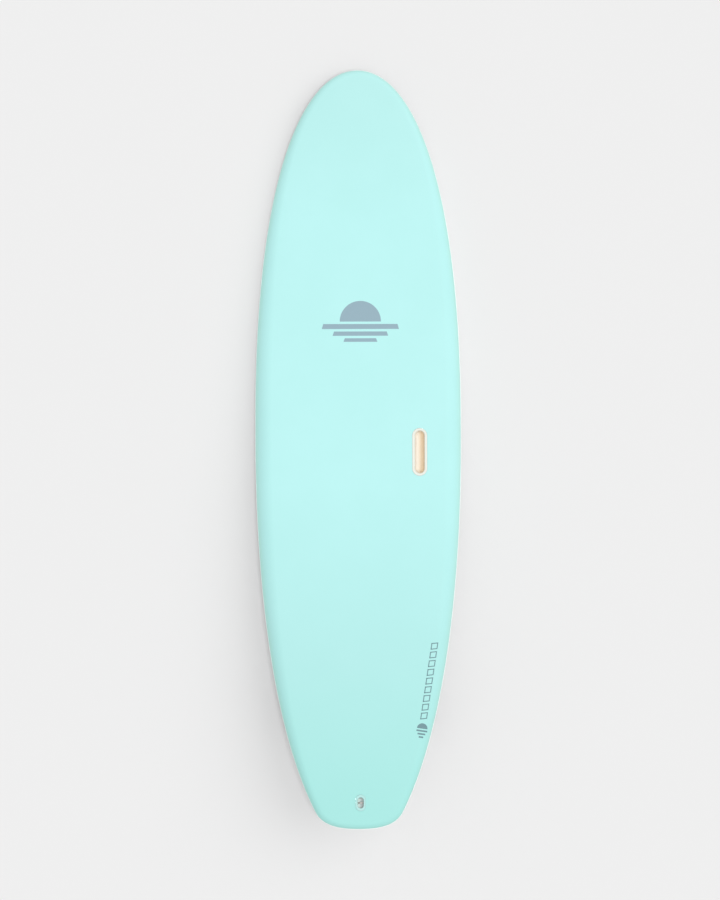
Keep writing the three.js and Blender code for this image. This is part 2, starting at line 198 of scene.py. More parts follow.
def slickSheetFinish():
    look = {"white": (243, 246, 247), "scuff": (222, 226, 229)}
    finish = Finish("slickSheet", roughness=0.28, coatWeight=0.15, coatRoughness=0.2)
    along = finish.stretched(90, 2.2, 90)  # hair scratches run nose to tail
    scratches = finish.between(finish.noise(8.0, 6.0, 0.7, along), 0.6, 0.72)
    mottle = finish.noise(14, 3.0)
    finish.feed(
        baseColor=finish.mix(scratches * 0.35, shade(look["white"]), shade(look["scuff"])),
        roughness=0.22 + mottle * 0.1 + scratches * 0.2,
        normal=finish.bump(mottle * 0.7 - scratches * 0.3, 0.0002, 0.25))
    return finish.material


def boxFinish():
    look = {"pale": (232, 235, 235), "worn": (219, 223, 224), "grain": 2600}
    finish = Finish("boxMoulding", roughness=0.42, specularIORLevel=0.45)
    grain = finish.noise(look["grain"], 3.0)
    cloud = finish.between(finish.noise(60, 3.0), 0.3, 0.7)
    finish.feed(
        baseColor=finish.mix(cloud * 0.4 + grain * 0.15, shade(look["pale"]), shade(look["worn"])),
        roughness=0.37 + grain * 0.14,
        normal=finish.bump(grain, 0.00006, 0.5))
    return finish.material


def cupFinish(name, node, look):  # a rim, and an inside with painted light and shade: lit on one side, shaded across to the other
    finish = Finish(name, roughness=0.5, specularIORLevel=0.3)
    low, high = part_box(node)
    middle = (low + high) / 2
    slope = look["slope"]  # of the deck there, along the board
    mouth = high.z - slope * (high.y - low.y) / 2
    across, along, rise = (finish.node("ShaderNodeSeparateXYZ", None, {0: finish.place}, out=axis)
                           for axis in "XYZ")
    depth = (mouth + middle.y * slope) - (rise + along * slope)  # below the cup's own tilted mouth
    grain = finish.noise(2400, 3.0)
    cloud = finish.between(finish.noise(60, 3.0), 0.3, 0.7)
    # painted light and shade: the inside is painted lighter on its -X side, which faces the lamps, and darker
    # on its +X side, where its wall casts shade
    side = finish.between(across - middle.x, *look["across"])
    tone = finish.mix(side, shade(look["pale"]), shade(look["deep"]))
    # the painted light and shade cover the inside below the rim; the rim keeps its own colour
    tone = finish.mix(finish.between(depth, *look["rimDepth"]), shade(look["rim"]), tone)
    finish.feed(
        baseColor=finish.mix(cloud * 0.1 + grain * 0.08, tone, shade(look["worn"])),
        roughness=0.42 + grain * 0.14,
        normal=finish.bump(grain, 0.00006, 0.5))
    return finish.material


def handleFinish():
    return cupFinish("handleMoulding", "handle_cup", {
        "slope": 0.0804, "rim": (231, 234, 225),
        # pale is the painted lit side of the inside, deep its painted shaded side
        "pale": (255, 253, 247), "deep": (234, 215, 187), "worn": (226, 216, 198),
        "rimDepth": (0.0006, 0.0035), "across": (-0.0085, 0.0065)})


def plugFinish():
    return cupFinish("plugMoulding", "leash_plug_cup", {
        "slope": 0.1118, "rim": (178, 226, 222),
        # pale is the painted lit side of the hole, deep its painted shade
        "pale": (238, 255, 249), "deep": (198, 202, 202), "worn": (170, 214, 211),
        "rimDepth": (0.0004, 0.002), "across": (-0.0075, 0.002)})


def steelFinish():
    look = {"dark": (176, 170, 164), "light": (206, 203, 199)}
    finish = Finish("steel", metallic=1.0, roughness=0.32)
    lines = finish.noise(30, 4.0, 0.6, finish.stretched(8, 160, 160))
    finish.feed(
        baseColor=finish.mix(lines, shade(look["dark"]), shade(look["light"])),
        roughness=0.22 + lines * 0.22,
        normal=finish.bump(lines, 0.00003, 0.6))
    return finish.material


def finFinish():
    look = {"dark": (44, 49, 54), "light": (66, 72, 78)}
    finish = Finish("finMoulding", roughness=0.45)
    grain = finish.noise(1900, 3.0)
    streaks = finish.noise(22, 4.0, 0.6, finish.stretched(1, 1, 5))
    finish.feed(
        baseColor=finish.mix(streaks * 0.6 + grain * 0.2, shade(look["dark"]), shade(look["light"])),
        roughness=0.36 + grain * 0.2,
        normal=finish.bump(grain, 0.0001, 0.5))
    return finish.material


def coreFinish():  # expanded beads, pressed against each other
    look = {"join": (221, 224, 222), "bead": (247, 248, 246), "beads": 270}
    finish = Finish("coreBeads", roughness=0.85)
    edges = finish.between(finish.cells(look["beads"], "DISTANCE_TO_EDGE"), 0.0, 0.09)
    beads = finish.noise(600, 2.0)
    finish.feed(
        baseColor=finish.mix(edges, shade(look["join"]), shade(look["bead"])),
        roughness=0.75 + beads * 0.15,
        normal=finish.bump(edges + beads * 0.2, 0.0005, 0.6))
    return finish.material


def stringerFinish():
    look = {"late": (173, 128, 82), "middle": (204, 162, 112), "early": (221, 184, 138),
            "pore": (130, 92, 56)}
    finish = Finish("stringerWood", roughness=0.6)
    wavy = finish.noise(6.0, 5.0, 0.6, finish.stretched(40, 1.6, 14))
    pores = finish.between(finish.noise(30, 3.0, 0.6, finish.stretched(60, 3, 60)), 0.55, 0.7)
    tone = finish.node("ShaderNodeValToRGB", {"stops": [
        (0.3, shade(look["late"])), (0.5, shade(look["middle"])), (0.7, shade(look["early"]))]}, {0: wavy})
    finish.feed(
        baseColor=finish.mix(pores * 0.5, tone, shade(look["pore"])),
        roughness=0.55 + wavy * 0.15,
        normal=finish.bump(wavy - pores * 0.5, 0.0002, 0.5))
    return finish.material


def laminateFinish():  # resin over woven cloth
    look = {"thread": (226, 222, 208), "resin": (240, 238, 229), "weave": 130}
    finish = Finish("laminate", roughness=0.4, coatWeight=0.2)
    across, along = (finish.node("ShaderNodeTexWave", {"bands_direction": axis}, {
        "Vector": finish.place, "Scale": look["weave"]}) for axis in "XY")
    weave = across * along
    cloud = finish.noise(20, 3.0)
    finish.feed(
        baseColor=finish.mix(weave * 0.4 + cloud * 0.3, shade(look["thread"]), shade(look["resin"])),
        roughness=0.35 + weave * 0.15,
        normal=finish.bump(weave, 0.0001, 0.6))
    return finish.material


def inkFinish(name, colour, faded):  # printed into the foam, so its grain shows through
    finish = Finish(name, roughness=0.55)
    grain = finish.noise(1500, 2.0)
    wear = finish.between(finish.noise(240, 4.0, 0.7), 0.62, 0.75)
    tone = finish.mix(grain * 0.35, shade(colour), shade(faded))
    finish.feed(
        baseColor=finish.mix(wear * 0.3, tone, shade((184, 226, 226))),
        roughness=0.5 + grain * 0.15,
        normal=finish.bump(grain, 0.00008, 0.6))
    return finish.material


def floorFinish():
    finish = Finish("paleFloor", roughness=0.9, specularIORLevel=0.1)
    cloud = finish.noise(3.0, 2.0)
    finish.feed(
        baseColor=finish.mix(cloud, (0.80, 0.80, 0.80), (0.805, 0.805, 0.805)),
        roughness=0.88 + cloud * 0.04)
    return finish.material


finishes = {
    "deck": deckFoamFinish(),
    "slick": slickSheetFinish(),
    "handle": handleFinish(),
    "plug": plugFinish(),
    "box": boxFinish(),
    "steel": steelFinish(),
    "fin": finFinish(),
    "core": coreFinish(),
    "wood": stringerFinish(),
    "laminate": laminateFinish(),
    "deckInk": inkFinish("deckInk", (140, 168, 181), (152, 180, 191)),
    "railInk": inkFinish("railInk", (104, 140, 147), (122, 158, 163)),
    "floor": floorFinish(),
}
print("finishes made:", len(finishes))

board = {
    "length": 2.134, "width": 0.580, "widePoint": 0.985,
    "noseReach": 0.150, "noseShoulder": 0.290,
    "tailHip": 1.080, "tailDraw": (0.301, 1.733), "tailCorner": (0.124, 2.085),
    "cornerHandle": 0.046, "endReach": 0.056,
    "noseRocker": 0.105, "tailRocker": 0.048, "flatPoint": 1.180,
    "nosePower": 2.6, "tailPower": 2.3,
    "thickPoint": 1.050, "thickness": 0.079, "noseThickness": 0.025, "tailThickness": 0.030,
    "noseFoil": 1.8, "tailFoil": 1.9,
    "apex": 0.42, "deckRail": 0.6, "bottomRail": 0.42, "crown": 0.08,
    "lip": 0.0006, "deckFoam": 0.0058, "sheet": 0.0016, "seam": 0.0003, "ease": 0.0001,
    "rest": (0.490, 0.580),
    "noseFan": 0.160, "tailFan": 2.024, "noseSpokes": 16, "rows": 72, "tailSpokes": 22,
    "tilt": -0.08786, "shift": (0.0, -0.007726, 0.02471),
}


def bezier(points, t):
    a, b, c, d = (Vector(p) for p in points)
    s = 1 - t
    return a * s ** 3 + b * (3 * s * s * t) + c * (3 * s * t * t) + d * t ** 3


def outlinePieces():
    half, length = board["width"] / 2, board["length"]
    corner, draw = Vector(board["tailCorner"]), Vector(board["tailDraw"])
    tangent = (corner - draw).normalized() * board["cornerHandle"]
    return [
        [(0, 0), (board["noseReach"], 0), (half, board["noseShoulder"]), (half, board["widePoint"])],
        [(half, board["widePoint"]), (half, board["tailHip"]), draw, corner],
        [corner, corner + tangent, (board["endReach"], length), (0, length)],
    ]


outline = outlinePieces()


def outlineWhere(measure, target):  # the outline's point where a growing measure reaches target
    low, high = 0.0, 3.0

    def at(t):
        piece = min(2, int(t))
        return bezier(outline[piece], t - piece)

    for _ in range(45):
        middle = (low + high) / 2
        if measure(at(middle)) < target:
            low = middle
        else:
            high = middle
    return at(high)


def halfWidthAt(station):
    return outlineWhere(lambda p: p.y, station).x


def rockerCurve(station):
    flat = board["flatPoint"]
    ahead = max(0.0, flat - station) / flat
    behind = max(0.0, station - flat) / (board["length"] - flat)
    return (board["noseRocker"] * ahead ** board["nosePower"]
            + board["tailRocker"] * behind ** board["tailPower"])


def rockerAt(station):  # the curve, with the short flat that the board lies on
    front, back = board["rest"]
    if not front < station < back:
        return rockerCurve(station)
    share = (station - front) / (back - front)
    return rockerCurve(front) * (1 - share) + rockerCurve(back) * share


def thicknessAt(station):
    thick = board["thickPoint"]
    ahead = max(0.0, thick - station) / thick
    behind = max(0.0, station - thick) / (board["length"] - thick)
    full = board["thickness"]
    return (full - (full - board["noseThickness"]) * ahead ** board["noseFoil"]
            - (full - board["tailThickness"]) * behind ** board["tailFoil"])


def makeSpokes():
    noseFan, tailFan = board["noseFan"], board["tailFan"]
    spokes = [(noseFan, Vector((0, 0)))]
    for step in range(1, board["noseSpokes"]):
        angle = math.radians(90 * step / board["noseSpokes"])
        spokes.append((noseFan, outlineWhere(lambda p: math.atan2(p.x, noseFan - p.y), angle)))
    rows = board["rows"]
    for step in range(rows + 1):
        station = noseFan + (tailFan - noseFan) * step / rows
        spokes.append((station, outlineWhere(lambda p: p.y, station)))
    for step in range(1, board["tailSpokes"]):
        angle = math.radians(90 * step / board["tailSpokes"])
        spokes.append((tailFan, outlineWhere(lambda p: math.atan2(p.y - tailFan, p.x), angle)))
    spokes.append((tailFan, Vector((0, board["length"]))))
    return spokes


def surfacePoint(spoke, share, angle, isDeck):
    centre, end = spoke
    length = math.hypot(end.x, end.y - centre)
    rail = thicknessAt(end.y) * board["deckRail" if isDeck else "bottomRail"]
    reach = share * (length - rail) + rail * math.sin(math.radians(angle))
    along = reach / length
    station = centre + (end.y - centre) * along
    thickness = thicknessAt(station)
    apex = rockerAt(station) + board["apex"] * thickness
    rise = -board["apex"] * thickness
    if isDeck:
        rise = (1 - board["apex"] - board["crown"] * along ** 2) * thickness
    fall = 0.0 if angle == 90 else math.cos(math.radians(angle))
    return Vector((end.x * along, board["length"] / 2 - station, apex + rise * fall))


deckSteps = [(share, 0) for share in (0, 0.15, 0.3, 0.45, 0.6, 0.75, 0.88, 1)]
deckSteps += [(1, angle) for angle in (7, 14, 21, 28, 35, 42, 49, 56, 63, 70, 76, 82, 86)]
bottomSteps = [(1, angle) for angle in (86, 81, 74, 66, 57, 48, 39, 30, 20, 10, 0)]
bottomSteps += [(share, 0) for share in (0.85, 0.6, 0.3, 0)]
apexRow = len(deckSteps)
lastRow = apexRow + len(bottomSteps)


def makeSurface():
    right = makeSpokes()
    left = [(centre, Vector((-end.x, end.y))) for centre, end in reversed(right[1:-1])]
    steps = [(*step, True) for step in [*deckSteps, (1, 90)]]
    steps += [(*step, False) for step in bottomSteps]
    points, known, grid = [], {}, []
    for step in steps:
        row = []
        for spoke in right + left:
            point = surfacePoint(spoke, *step)
            key = tuple(round(value, 7) for value in point)
            if key not in known:
                known[key] = len(points)
                points.append(point)
            row.append(known[key])
        grid.append(row)
    mesh = bpy.data.meshes.new("surfaceGuide")
    mesh.from_pydata(points, [], stitch(grid))
    normals = [vertex.normal.copy() for vertex in mesh.vertices]
    bpy.data.meshes.remove(mesh)
    return grid, points, normals


def stitch(loops):  # quads between loops of vertex numbers, less those that have collapsed
    faces = []
    for inner, outer in zip(loops, loops[1:]):
        for i, a in enumerate(inner):
            j = (i + 1) % len(inner)
            face = []
            for number in (a, inner[j], outer[j], outer[i]):
                if number not in face:
                    face.append(number)
            if len(face) > 2:
                faces.append(face)
    return faces


surfaceGrid, surfacePoints, surfaceNormals = makeSurface()
setDown = Matrix.Translation(board["shift"]) @ Matrix.Rotation(board["tilt"], 4, "X")


def newPiece(name, mesh, finish, slotName, body, *nodes):
    mesh.materials.clear()
    mesh.materials.append(finishes[finish])
    piece = bpy.data.objects.new(name, mesh)
    bpy.context.scene.collection.objects.link(piece)
    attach(piece, body)
    if nodes:
        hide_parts(*nodes)
    return piece


def meshOf(name, points, faces, place=None):
    mesh = bpy.data.meshes.new(name)
    mesh.from_pydata(points, [], faces)
    if place:
        mesh.transform(place)
    mesh.validate()
    mesh.update()
    return mesh


def smooth(mesh, angle=35):
    for face in mesh.polygons:
        face.use_smooth = True
    mesh.set_sharp_from_angle(angle=math.radians(angle))


def layeredMesh(name, rows):  # rows of (surface row, depth under it, extra height)
    points, loops = [], []
    for row, depth, rise in rows:
        numbers, loop = {}, []
        for number in surfaceGrid[row]:
            if number not in numbers:
                numbers[number] = len(points)
                points.append(surfacePoints[number] - surfaceNormals[number] * depth + Vector((0, 0, rise)))
            loop.append(numbers[number])
        loops.append(loop)
    return meshOf(name, points, stitch(loops), setDown)


def cutMesh(mesh, cutters):  # mesh less closed cutters
    piece = bpy.data.objects.new("cutting", mesh)
    bpy.context.scene.collection.objects.link(piece)
    tools = []
    for cutter in cutters:
        tool = bpy.data.objects.new("cutter", cutter)
        bpy.context.scene.collection.objects.link(tool)
        change = piece.modifiers.new("cut", "BOOLEAN")
        change.operation, change.solver, change.object = "DIFFERENCE", "EXACT", tool
        tools.append(tool)
    bpy.context.view_layer.update()
    ready = piece.evaluated_get(bpy.context.evaluated_depsgraph_get())
    made = bpy.data.meshes.new_from_object(ready)
    made.name = mesh.name + "Cut"
    for thing in [piece, *tools]:
        bpy.data.objects.remove(thing)
    return made


def roundedRing(size, height, radius=None, steps=12):  # long side on Y
    length, width = size
    radius = width / 2 if radius is None else radius
    ring = []
    for sideX, sideY, start in ((1, 1, 0), (-1, 1, 90), (-1, -1, 180), (1, -1, 270)):
        for i in range(steps + 1):
            angle = math.radians(start + 90 * i / steps)
            point = Vector((sideX * (width / 2 - radius) + radius * math.cos(angle),
                            sideY * (length / 2 - radius) + radius * math.sin(angle), height))
            if not ring or (ring[-1] - point).length > 1e-7:
                ring.append(point)
    if (ring[0] - ring[-1]).length < 1e-7:
        ring.pop()
    return ring


def grow(size, by):
    return size[0] + 2 * by, size[1] + 2 * by


def loftMesh(name, rings, place=None):
    count = len(rings[0])
    loops = [[k * count + i for i in range(count)] for k in range(len(rings))]
    faces = stitch(loops)
    faces.append(list(reversed(loops[0])))
    faces.append(loops[-1])
    points = [point for ring in rings for point in ring]
    return meshOf(name, points, faces, place)


def arcRings(size, height, radius, start, stop, steps=6):  # a quarter round, grown out from size
    rings = []
    for i in range(steps + 1):
        angle = math.radians(start + (stop - start) * i / steps)
        rings.append(roundedRing(grow(size, radius * math.cos(angle)), height + radius * math.sin(angle)))
    return rings


def nodePlace(point, alongSlope, acrossSlope):  # a fitting's frame in the board's
    turn = Matrix.Rotation(alongSlope, 4, "X") @ Matrix.Rotation(acrossSlope, 4, "Y")
    return setDown @ Matrix.Translation(point) @ turn


def placeOnDeck(x, station):
    half = halfWidthAt(station)

    def height(across, s):
        crown = board["crown"] * (across / half) ** 2
        return rockerAt(s) + (1 - crown) * thicknessAt(s) - board["lip"]

    step = 0.001
    along = (height(x, station - step) - height(x, station + step)) / (2 * step)
    across = (height(x + step, station) - height(x - step, station)) / (2 * step)
    point = Vector((x, board["length"] / 2 - station, height(x, station)))
    return nodePlace(point, math.atan(along), -math.atan(across))


handle = {"across": 0.173, "station": 1.0722, "flange": (0.134, 0.042), "mouth": (0.120, 0.027),
          "floor": (0.112, 0.021), "wall": 0.003, "depth": 0.028, "lipRadius": 0.0025, "fillet": 0.0096}
plug = {"across": 0.004, "station": 2.059, "flange": (0.046, 0.028), "mouth": (0.031, 0.0175),
        "floor": (0.027, 0.014), "wall": 0.003, "depth": 0.014, "lipRadius": 0.0012, "fillet": 0.0045,
        "pinRadius": 0.00225, "pinLength": 0.021, "pinDrop": 0.0055, "pinChamfer": 0.0003}
flange = {"depth": 0.0055, "proud": 0.0006, "round": 0.0008, "clearance": 0.0003, "cut": 0.012}


def cupRings(cup):
    wall, lip, fillet, top = cup["wall"], cup["lipRadius"], cup["fillet"], flange["proud"]
    rings = [roundedRing(grow(cup["floor"], wall - 0.001), -cup["depth"] - wall),
             roundedRing(grow(cup["floor"], wall), -cup["depth"] - wall + 0.001),
             roundedRing(grow(cup["mouth"], wall), -flange["depth"]),
             roundedRing(cup["flange"], -flange["depth"])]
    rings += arcRings(grow(cup["flange"], -flange["round"]), top - flange["round"], flange["round"], 0, 90)
    rings += arcRings(grow(cup["mouth"], lip), top - lip, lip, 90, 180, 8)
    for i in range(9):
        angle = math.radians(90 * i / 8)
        size = grow(cup["floor"], -fillet * (1 - math.cos(angle)))
        rings.append(roundedRing(size, -cup["depth"] + fillet * (1 - math.sin(angle))))
    return rings


handlePlace = placeOnDeck(handle["across"], handle["station"])
plugPlace = placeOnDeck(plug["across"], plug["station"])

deckDepth = board["lip"] + board["ease"]
deckRows = [(row, deckDepth, board["seam"] if row == apexRow else 0) for row in range(apexRow + 1)]
deckRows += [(row, board["lip"] + board["deckFoam"], board["seam"] if row == apexRow else 0)
             for row in range(apexRow, -1, -1)]
flangeCutters = [
    loftMesh("flangeCutter", [roundedRing(grow(cup["flange"], flange["clearance"]), z)
                              for z in (-flange["cut"], flange["cut"])], place)
    for cup, place in ((handle, handlePlace), (plug, plugPlace))]
deckMesh = cutMesh(layeredMesh("deckSkin", deckRows), flangeCutters)
smooth(deckMesh, 40)
newPiece("deckSkin", deckMesh, "deck", "deck_foam", boardBody, "deck_skin")
print("deck skin:", len(deckMesh.polygons), "faces")

handleMesh = loftMesh("handleCup", cupRings(handle), handlePlace)
smooth(handleMesh, 50)
newPiece("handleCup", handleMesh, "handle", "cream_moulding", boardBody, "handle_cup")

plugMesh = loftMesh("leashPlug", cupRings(plug), plugPlace)
smooth(plugMesh, 50)
newPiece("leashPlug", plugMesh, "plug", "cream_moulding", boardBody, "leash_plug_cup")


def rodRings(radius, bottom, top, chamfer, segments=32):  # upright, with its ends eased
    def ring(size, height):
        turns = [2 * math.pi * i / segments for i in range(segments)]
        return [Vector((size * math.cos(turn), size * math.sin(turn), height)) for turn in turns]
    return [ring(radius - chamfer, bottom), ring(radius, bottom + chamfer),
            ring(radius, top - chamfer), ring(radius - chamfer, top)]


pinPlace = plugPlace @ Matrix.Translation((0, 0, -plug["pinDrop"])) @ Matrix.Rotation(math.pi / 2, 4, "Y")
pinEnd = plug["pinLength"] / 2
pinMesh = loftMesh("leashPin", rodRings(plug["pinRadius"], -pinEnd, pinEnd, plug["pinChamfer"]), pinPlace)
smooth(pinMesh, 50)
newPiece("leashPin", pinMesh, "steel", "steel", boardBody, "leash_pin")
print("handle, leash plug and pin set in the deck")

fin = {"base": 0.112, "centreDepth": 0.115, "thickness": 0.0085, "edge": 0.0012,
       "flatFace": 0.0032, "gap": 0.0003, "rake": 0.058, "tipSweep": 0.066, "hollow": 0.014, "tipDrag": 0.018,
       "toe": 3, "cant": 6, "across": 0.160, "sideFromTail": 0.335, "centreFromTail": 0.172}
finBox = {"size": (0.134, 0.028), "depth": 0.018, "corner": 0.008, "edge": 0.0006, "clearance": 0.0003,
          "cutBelow": 0.01}
tab = {"size": (0.006, 0.020, 0.013), "offset": 0.028, "clearance": 0.0003,
       "root": 0.003, "ease": 0.0006, "slotBelow": 0.0053}  # root is how far it runs down into its blade
screw = {"radius": 0.0025, "angle": 25, "across": 0.0088, "recess": 0.0015, "end": 0.0076,
         "socket": 0.00145, "socketDepth": 0.0024}


def finBoxPlace(x, fromTail):
    station, half = board["length"] - fromTail, finBox["size"][0] / 2
    ahead, behind = rockerAt(station - half), rockerAt(station + half)
    level = (ahead + behind + 2 * rockerAt(station)) / 4
    toe = math.radians(fin["toe"]) * (0 if x == 0 else math.copysign(1, x))
    turn = Matrix.Rotation(math.atan((ahead - behind) / (2 * half)), 4, "X") @ Matrix.Rotation(toe, 4, "Z")
    return setDown @ Matrix.Translation((x, board["length"] / 2 - station, level)) @ turn


def leadingEdge(share):
    return fin["base"] / 2 - fin["rake"] * share - fin["tipSweep"] * (1 - math.sqrt(1 - share ** 4))


def trailingEdge(share):
    return -fin["base"] / 2 + fin["hollow"] * math.sin(math.pi * share) - fin["tipDrag"] * share ** 3


def finSection(share, height, side):
    lead = leadingEdge(share)
    chord = lead - trailingEdge(share)
    steps = 14
    shares = [(i / steps) ** 1.8 for i in range(steps + 1)]

    def thick(c):
        foil = max(0.0, math.sin(math.pi * c ** 0.6)) ** 0.8
        return fin["edge"] + fin["thickness"] * (1 - 0.75 * share) * foil

    def outer(c):
        return thick(c) / 2 if side == 0 else thick(c) - fin["flatFace"]

    def inner(c):
        return -thick(c) / 2 if side == 0 else -fin["flatFace"]

    ring = [Vector((inner(c), lead - c * chord, height)) for c in shares]
    ring += [Vector((outer(c), lead - c * chord, height)) for c in reversed(shares)]
    if side < 0:
        ring = [Vector((-p.x, p.y, p.z)) for p in reversed(ring)]
    return ring


def easedBox(size, place):  # a block with its edges eased
    shape = bmesh.new()
    bmesh.ops.create_cube(shape, size=1.0, matrix=place @ Matrix.Diagonal((*size, 1.0)))
    bmesh.ops.bevel(shape, geom=shape.edges[:], offset=tab["ease"], segments=2, affect="EDGES", profile=0.5)
    mesh = bpy.data.meshes.new("block")
    shape.to_mesh(mesh)
    shape.free()
    return mesh


def joined(name, meshes):
    whole = bmesh.new()
    for mesh in meshes:
        whole.from_mesh(mesh)
    made = bpy.data.meshes.new(name)
    whole.to_mesh(made)
    whole.free()
    return made


def finMesh(name, depth, side, cant, place):
    shares = [1 - (i / 22) ** 1.6 for i in range(23)]
    rings = [finSection(share, -depth * share, side) for share in shares]
    slope = math.tan(cant)
    base = finSection(0, 0, side)
    for point in base:  # the base is cut along its box's face
        point.z = -fin["gap"] + point.x * slope
    rings[-1] = base
    parts = [loftMesh(name, rings)]
    for y in (-tab["offset"], tab["offset"]):
        width, length, height = tab["size"]
        middle = Matrix.Translation((0, y, (height - tab["root"]) / 2))
        parts.append(easedBox((width, length, height + tab["root"]), middle))
    mesh = joined(name, parts)
    mesh.transform(place)
    return mesh


def screwTurn(y, side):
    return (Matrix.Translation((screw["across"] * side, y, 0))
            @ Matrix.Rotation(-math.radians(screw["angle"]) * side, 4, "Y"))


def tabCutter(y):  # the slot, from below the box's face to just past the tab's end
    width, length = (value + 2 * tab["clearance"] for value in tab["size"][:2])
    low, high = -tab["slotBelow"], tab["size"][2] + tab["clearance"]
    shape = bmesh.new()
    bmesh.ops.create_cube(shape, size=1.0, matrix=Matrix.Translation((0, y, (low + high) / 2))
                          @ Matrix.Diagonal((width, length, high - low, 1.0)))
    mesh = bpy.data.meshes.new("tabCutter")
    shape.to_mesh(mesh)
    shape.free()
    return mesh


def boxMesh(name, cantTurn, screwSide, place):
    size, edge, corner = finBox["size"], finBox["edge"], finBox["corner"]
    rings = [roundedRing(grow(size, -edge), 0, corner - edge), roundedRing(size, edge, corner),
             roundedRing(size, finBox["depth"] - edge, corner),
             roundedRing(grow(size, -edge), finBox["depth"], corner - edge)]
    cutters = []
    for y in (-tab["offset"], tab["offset"]):
        slot = tabCutter(y)
        slot.transform(cantTurn)
        room = tab["clearance"]
        hole = loftMesh("holeCutter", rodRings(screw["radius"] + room, -0.005, screw["end"] + room, 0.0001))
        hole.transform(cantTurn @ screwTurn(y, screwSide))
        cutters += [slot, hole]
    mesh = cutMesh(loftMesh(name, rings), cutters)
    mesh.transform(place)
    return mesh


def screwMesh(name, place):
    shank = loftMesh(name, rodRings(screw["radius"], screw["recess"], screw["end"], 0.0004))
    socket = loftMesh("socketCutter", rodRings(screw["socket"], screw["recess"] - 0.001,
                                               screw["recess"] + screw["socketDepth"], 0.00001, 6))
    mesh = cutMesh(shank, [socket])
    mesh.transform(place)
    return mesh


def finSet(name, side, screwSide, x, fromTail, depth):
    place = finBoxPlace(x, fromTail)
    cant = -math.radians(fin["cant"]) * side
    cantTurn = Matrix.Rotation(cant, 4, "Y")
    box = boxMesh(f"finBox{name}", cantTurn, screwSide, place)
    smooth(box, 30)
    newPiece(f"finBox{name}", box, "box", "box_moulding", boardBody, f"fin_box_{name.lower()}")
    blade = finMesh(f"fin{name}", depth, side, cant, place @ cantTurn)
    smooth(blade, 50)
    newPiece(f"fin{name}", blade, "fin", "fin_moulding", f"fin_body_{name.lower()}", f"fin_{name.lower()}")
    for end, y in (("Front", tab["offset"]), ("Rear", -tab["offset"])):
        key = f"{name.lower()}_{end.lower()}"
        mesh = screwMesh(f"screw{name}{end}", place @ cantTurn @ screwTurn(y, screwSide))
        smooth(mesh, 30)
        newPiece(f"screw{name}{end}", mesh, "steel", "steel", f"screw_body_{key}", f"screw_{key}")


def sideFinDepth():  # read back from the frame, so the tip meets the floor as the model's does
    low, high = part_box("fin_right")
    cantTurn = Matrix.Rotation(-math.radians(fin["cant"]), 4, "Y")
    place = finBoxPlace(fin["across"], fin["sideFromTail"]) @ cantTurn

    def lowest(depth):
        return min((place @ point).z for i in range(41)
                   for point in finSection(0.8 + 0.2 * i / 40, -depth * (0.8 + 0.2 * i / 40), 1))

    trial, step = 0.12, 0.001
    short = lowest(trial) - low.z - board["ease"]
    return trial + short / (lowest(trial - step) - lowest(trial)) * step


sideDepth = sideFinDepth()
finSet("Left", -1, 1, -fin["across"], fin["sideFromTail"], sideDepth)
finSet("Centre", 0, 1, 0.0, fin["centreFromTail"], fin["centreDepth"])
finSet("Right", 1, -1, fin["across"], fin["sideFromTail"], sideDepth)
print("fins, boxes and screws made; side fins are", round(sideDepth * 1000, 1), "mm deep")

bottomRows = [(row, board["sheet"], 0) for row in range(lastRow, apexRow - 1, -1)]
bottomRows += [(row, board["ease"], 0) for row in range(apexRow, lastRow + 1)]
boxCutters = []
for x, fromTail in ((-fin["across"], fin["sideFromTail"]), (0.0, fin["centreFromTail"]),
                    (fin["across"], fin["sideFromTail"])):
    room = finBox["clearance"]
    cutter = [roundedRing(grow(finBox["size"], room), z, finBox["corner"] + room)
              for z in (-finBox["cutBelow"], finBox["depth"])]
    boxCutters.append(loftMesh("boxCutter", cutter, finBoxPlace(x, fromTail)))
bottomMesh = cutMesh(layeredMesh("bottomSkin", bottomRows), boxCutters)
smooth(bottomMesh, 40)
newPiece("bottomSkin", bottomMesh, "slick", "slick_sheet", boardBody, "bottom_skin")
print("bottom sheet:", len(bottomMesh.polygons), "faces")

mark = {"across": 0.007, "station": 0.706, "width": 0.217, "height": 0.118, "lift": 0.00012,
        "disc": 0.058, "gap": 0.007, "taper": 0.004,
        "bars": ((1.0, 0.014, 0.0), (0.72, 0.012, 0.021), (0.44, 0.010, 0.040))}  # share, deep, down
railRow = {"from": (0.174, 1.877), "to": (0.214, 1.612), "tall": 0.019, "count": 9, "pitch": 0.0248,
           "space": 0.006, "lead": 0.0535, "stroke": 0.0027, "slant": 0.25, "disc": 0.0150, "bar": 0.0046,
           "barStep": 0.0088, "bars": (0.0065, 0.0110, 0.0155)}


def deckPoint(x, y, lift):  # on the deck skin over a plan position, square rows only
    def height(px, py):
        station = board["length"] / 2 - py
        half = halfWidthAt(station)
        thickness = thicknessAt(station)
        rail = thickness * board["deckRail"]
        over = min(1.0, max(0.0, abs(px) - (half - rail)) / rail)
        rise = (1 - board["apex"] - board["crown"] * (px / half) ** 2) * thickness
        return rockerAt(station) + board["apex"] * thickness + rise * math.sqrt(1 - over * over)

    step = 0.0005
    slopeX = (height(x + step, y) - height(x - step, y)) / (2 * step)
    slopeY = (height(x, y + step) - height(x, y - step)) / (2 * step)
    normal = Vector((-slopeX, -slopeY, 1)).normalized()
    return Vector((x, y, height(x, y))) + normal * (lift - deckDepth)


def printedMesh(name, patches, toDeck):  # patches are grids of plan points
    points, faces = [], []
    for patch in patches:
        base = len(points)
        width = len(patch[0])
        points += [toDeck(*p) for row in patch for p in row]
        for i in range(len(patch) - 1):
            for j in range(width - 1):
                a = base + i * width + j
                faces.append([a, a + 1, a + width + 1, a + width])
    mesh = meshOf(name, points, faces, setDown)
    for face in mesh.polygons:
        face.use_smooth = True
    return mesh


